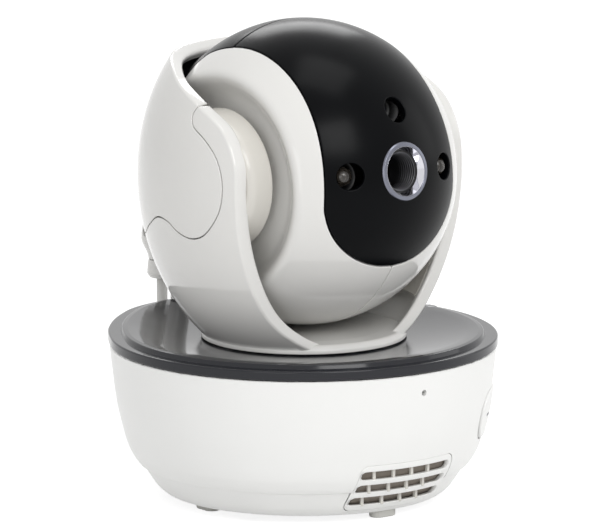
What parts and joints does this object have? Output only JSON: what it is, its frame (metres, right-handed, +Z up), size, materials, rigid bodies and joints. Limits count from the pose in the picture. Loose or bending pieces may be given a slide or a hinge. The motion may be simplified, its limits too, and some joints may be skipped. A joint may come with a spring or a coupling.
{
  "type": "baby_monitor_camera",
  "caption": "Pan and tilt nursery monitor camera: ball head with lens and infra-red lamps in an egg-shaped yoke on a round base with speaker grille, volume rocker and fold-down aerial.",
  "frame": {"origin": "On the table, under the middle of the whole camera's outline; the pan axis stands 8.35 mm in front of it, towards -Y.", "axes": "+Z up, -Y to the front of the base where the speaker grille is, +X to the side with the volume rocker."},
  "size_m": [0.108, 0.1244, 0.1339],
  "materials": {
    "white_abs": "gloss",
    "anthracite_abs": "gloss",
    "black_gloss": "gloss",
    "liner_black": "matte",
    "chrome_plate": "polished",
    "grey_rubber": "matte",
    "coated_glass": "polished",
    "zinc_steel": "satin",
    "acetal": "satin",
    "green_board": "satin",
    "smoked_epoxy": "gloss",
    "speaker_paper": "matte"
  },
  "bodies": {
    "base": {"base_housing": "white_abs", "speaker_grille": "white_abs", "bottom_cover": "white_abs", "rubber_foot_1": "grey_rubber", "rubber_foot_2": "grey_rubber", "rubber_foot_3": "grey_rubber", "rubber_foot_4": "grey_rubber", "base_screw_1": "zinc_steel", "base_screw_2": "zinc_steel", "base_screw_3": "zinc_steel", "base_screw_4": "zinc_steel", "top_lid": "anthracite_abs", "status_window": "smoked_epoxy", "speaker_basket": "zinc_steel", "speaker_cone": "speaker_paper", "speaker_magnet": "zinc_steel", "microphone_boot": "grey_rubber", "microphone": "zinc_steel", "main_board": "green_board", "dc_socket": "liner_black", "power_switch_body": "liner_black", "key_board": "green_board", "pan_motor": "zinc_steel", "bearing_ring": "acetal", "aerial_post": "white_abs", "aerial_pin": "zinc_steel"},
    "yoke": {"yoke_front_shell": "white_abs", "yoke_rear_cover": "white_abs", "arm_cover_left": "white_abs", "arm_cover_right": "white_abs", "hood_liner": "liner_black", "tilt_bush_left": "acetal", "tilt_bush_right": "acetal", "tilt_motor": "zinc_steel", "turntable": "white_abs", "retaining_ring": "zinc_steel", "pan_gear": "acetal"},
    "head": {"visor": "black_gloss", "rear_head_shell": "black_gloss", "cheek_left": "white_abs", "cheek_right": "white_abs", "trunnion_left": "acetal", "trunnion_right": "acetal", "tilt_gear": "acetal", "lens_ring": "chrome_plate", "lens_barrel": "liner_black", "front_lens": "coated_glass", "sensor_board": "green_board", "lamp_board": "green_board", "ir_lamp_left": "smoked_epoxy", "ir_lamp_right": "smoked_epoxy", "light_sensor": "smoked_epoxy"},
    "aerial": {"aerial_knuckle": "white_abs", "aerial_sleeve": "white_abs", "aerial_rod": "white_abs"},
    "volume_rocker": {"volume_rocker": "white_abs"},
    "pair_button": {"pair_button": "anthracite_abs"},
    "power_slider": {"power_slider": "anthracite_abs"},
    "pan_pinion": {"pan_pinion": "acetal"},
    "tilt_pinion": {"tilt_pinion": "acetal"}
  },
  "joints": [
    {"name": "pan", "type": "hinge", "parent": "base", "child": "yoke", "pos_m": [0, -0.00835, 0.0914], "axis": [0, 0, 1], "range_deg": [-150, 150]},
    {"name": "tilt", "type": "hinge", "parent": "yoke", "child": "head", "pos_m": [0, -0.00835, 0.0914], "axis": [0.9971, 0.0767, 0], "range_deg": [-55, 30]},
    {"name": "pan_pinion_turn", "type": "hinge", "parent": "base", "child": "pan_pinion", "pos_m": [-0.028, -0.00835, 0.0394], "axis": [0, 0, 1], "range_deg": [-460, 460]},
    {"name": "tilt_pinion_turn", "type": "hinge", "parent": "yoke", "child": "tilt_pinion", "pos_m": [0, -0.00835, 0.07865], "axis": [0.9971, 0.0767, 0], "range_deg": [-80, 140]},
    {"name": "aerial_fold", "type": "hinge", "parent": "base", "child": "aerial", "pos_m": [0, 0.05645, 0.0655], "axis": [1, 0, 0], "range_deg": [0, 180]},
    {"name": "volume_rock", "type": "hinge", "parent": "base", "child": "volume_rocker", "pos_m": [0.03839, -0.03781, 0.025], "axis": [0, 0, 1], "range_deg": [-1, 1], "stiffness_Nm_per_rad": 0.5},
    {"name": "pair_press", "type": "slide", "parent": "base", "child": "pair_button", "axis": [0, 0, 1], "range_m": [0, 0.0006], "stiffness_N_per_m": 600},
    {"name": "power_slide", "type": "slide", "parent": "base", "child": "power_slider", "axis": [0.8829, 0.4695, 0], "range_m": [-0.003, 0]}
  ],
  "couplings": [
    {"joint": "pan_pinion_turn", "follows": "pan", "ratio": -3},
    {"joint": "tilt_pinion_turn", "follows": "tilt", "ratio": -2.4}
  ]
}
